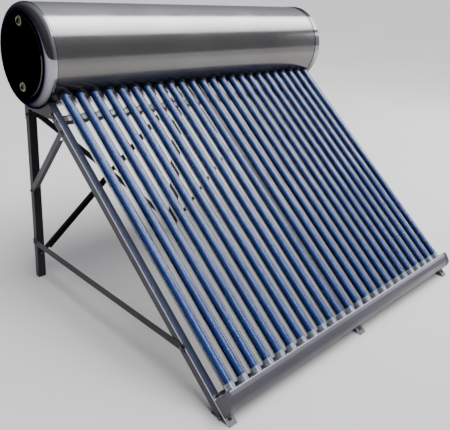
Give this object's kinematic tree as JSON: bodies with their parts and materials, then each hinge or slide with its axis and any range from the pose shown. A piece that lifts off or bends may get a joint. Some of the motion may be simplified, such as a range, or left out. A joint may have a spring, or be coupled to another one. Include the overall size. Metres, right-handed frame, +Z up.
{
  "type": "solar water heater",
  "caption": "Thermosiphon solar water heater: horizontal insulated tank with evacuated glass tubes plugged into it, on a sloped steel stand with a tail tray.",
  "frame": {"origin": "centre of the footprint, on the ground", "axes": "+X along the tank from the ported left end to the right end, -Y towards the sun (tail of the tubes), +Z up"},
  "size_m": [1.923, 1.5914, 1.3666],
  "materials": {
    "tank_shell": "bright stainless sheet",
    "cap_steel": "polished stainless pressing",
    "inner_steel": "dull stainless",
    "port_steel": "machined stainless",
    "foam": "rigid polyurethane foam",
    "silicone": "translucent yellow-green silicone",
    "black_rubber": "black rubber",
    "stand_steel": "dark grey satin powder coat",
    "tray_steel": "mid grey satin powder coat",
    "foot_steel": "light grey satin powder coat",
    "cup_plastic": "black moulded plastic",
    "fastener": "zinc plated",
    "tube_glass": "clear borosilicate glass over a blue selective coating"
  },
  "bodies": {
    "heater": {"outer_shell": "tank_shell", "foam_insulation": "foam", "inner_tank": "inner_steel", "tube_seals": "silicone", "dust_rings": "black_rubber", "end_cap_left": "cap_steel", "end_cap_right": "cap_steel", "port_upper": "port_steel", "port_lower": "port_steel", "port_grommets": "silicone", "tail_tray": "tray_steel", "tray_end_caps": "tray_steel", "tail_cups": "cup_plastic", "foot_left": "foot_steel", "foot_middle": "foot_steel", "foot_right": "foot_steel", "frame_bolts": "fastener", "frame_nuts": "fastener", "rail_left": "stand_steel", "rail_middle": "stand_steel", "rail_right": "stand_steel", "leg_left": "stand_steel", "leg_middle": "stand_steel", "leg_right": "stand_steel", "strut_left": "stand_steel", "strut_right": "stand_steel", "side_brace_left": "stand_steel", "side_brace_right": "stand_steel", "back_brace_left_a": "stand_steel", "back_brace_left_b": "stand_steel", "back_brace_right_a": "stand_steel", "back_brace_right_b": "stand_steel", "cross_bars": "stand_steel", "cradle_left": "stand_steel", "cradle_middle": "stand_steel", "cradle_right": "stand_steel"},
    "tube_01": {"tube_01": "tube_glass"},
    "tube_02": {"tube_02": "tube_glass"},
    "tube_03": {"tube_03": "tube_glass"},
    "tube_04": {"tube_04": "tube_glass"},
    "tube_05": {"tube_05": "tube_glass"},
    "tube_06": {"tube_06": "tube_glass"},
    "tube_07": {"tube_07": "tube_glass"},
    "tube_08": {"tube_08": "tube_glass"},
    "tube_09": {"tube_09": "tube_glass"},
    "tube_10": {"tube_10": "tube_glass"},
    "tube_11": {"tube_11": "tube_glass"},
    "tube_12": {"tube_12": "tube_glass"},
    "tube_13": {"tube_13": "tube_glass"},
    "tube_14": {"tube_14": "tube_glass"},
    "tube_15": {"tube_15": "tube_glass"},
    "tube_16": {"tube_16": "tube_glass"},
    "tube_17": {"tube_17": "tube_glass"},
    "tube_18": {"tube_18": "tube_glass"},
    "tube_19": {"tube_19": "tube_glass"},
    "tube_20": {"tube_20": "tube_glass"},
    "tube_21": {"tube_21": "tube_glass"},
    "tube_22": {"tube_22": "tube_glass"},
    "tube_23": {"tube_23": "tube_glass"},
    "tube_24": {"tube_24": "tube_glass"}
  },
  "joints": [
    {"name": "tube_01_slide", "type": "slide", "parent": "heater", "child": "tube_01", "axis": [0, 0.7837, 0.6211], "range_m": [0, 0.05]},
    {"name": "tube_02_slide", "type": "slide", "parent": "heater", "child": "tube_02", "axis": [0, 0.7837, 0.6211], "range_m": [0, 0.05]},
    {"name": "tube_03_slide", "type": "slide", "parent": "heater", "child": "tube_03", "axis": [0, 0.7837, 0.6211], "range_m": [0, 0.05]},
    {"name": "tube_04_slide", "type": "slide", "parent": "heater", "child": "tube_04", "axis": [0, 0.7837, 0.6211], "range_m": [0, 0.05]},
    {"name": "tube_05_slide", "type": "slide", "parent": "heater", "child": "tube_05", "axis": [0, 0.7837, 0.6211], "range_m": [0, 0.05]},
    {"name": "tube_06_slide", "type": "slide", "parent": "heater", "child": "tube_06", "axis": [0, 0.7837, 0.6211], "range_m": [0, 0.05]},
    {"name": "tube_07_slide", "type": "slide", "parent": "heater", "child": "tube_07", "axis": [0, 0.7837, 0.6211], "range_m": [0, 0.05]},
    {"name": "tube_08_slide", "type": "slide", "parent": "heater", "child": "tube_08", "axis": [0, 0.7837, 0.6211], "range_m": [0, 0.05]},
    {"name": "tube_09_slide", "type": "slide", "parent": "heater", "child": "tube_09", "axis": [0, 0.7837, 0.6211], "range_m": [0, 0.05]},
    {"name": "tube_10_slide", "type": "slide", "parent": "heater", "child": "tube_10", "axis": [0, 0.7837, 0.6211], "range_m": [0, 0.05]},
    {"name": "tube_11_slide", "type": "slide", "parent": "heater", "child": "tube_11", "axis": [0, 0.7837, 0.6211], "range_m": [0, 0.05]},
    {"name": "tube_12_slide", "type": "slide", "parent": "heater", "child": "tube_12", "axis": [0, 0.7837, 0.6211], "range_m": [0, 0.05]},
    {"name": "tube_13_slide", "type": "slide", "parent": "heater", "child": "tube_13", "axis": [0, 0.7837, 0.6211], "range_m": [0, 0.05]},
    {"name": "tube_14_slide", "type": "slide", "parent": "heater", "child": "tube_14", "axis": [0, 0.7837, 0.6211], "range_m": [0, 0.05]},
    {"name": "tube_15_slide", "type": "slide", "parent": "heater", "child": "tube_15", "axis": [0, 0.7837, 0.6211], "range_m": [0, 0.05]},
    {"name": "tube_16_slide", "type": "slide", "parent": "heater", "child": "tube_16", "axis": [0, 0.7837, 0.6211], "range_m": [0, 0.05]},
    {"name": "tube_17_slide", "type": "slide", "parent": "heater", "child": "tube_17", "axis": [0, 0.7837, 0.6211], "range_m": [0, 0.05]},
    {"name": "tube_18_slide", "type": "slide", "parent": "heater", "child": "tube_18", "axis": [0, 0.7837, 0.6211], "range_m": [0, 0.05]},
    {"name": "tube_19_slide", "type": "slide", "parent": "heater", "child": "tube_19", "axis": [0, 0.7837, 0.6211], "range_m": [0, 0.05]},
    {"name": "tube_20_slide", "type": "slide", "parent": "heater", "child": "tube_20", "axis": [0, 0.7837, 0.6211], "range_m": [0, 0.05]},
    {"name": "tube_21_slide", "type": "slide", "parent": "heater", "child": "tube_21", "axis": [0, 0.7837, 0.6211], "range_m": [0, 0.05]},
    {"name": "tube_22_slide", "type": "slide", "parent": "heater", "child": "tube_22", "axis": [0, 0.7837, 0.6211], "range_m": [0, 0.05]},
    {"name": "tube_23_slide", "type": "slide", "parent": "heater", "child": "tube_23", "axis": [0, 0.7837, 0.6211], "range_m": [0, 0.05]},
    {"name": "tube_24_slide", "type": "slide", "parent": "heater", "child": "tube_24", "axis": [0, 0.7837, 0.6211], "range_m": [0, 0.05]}
  ]
}
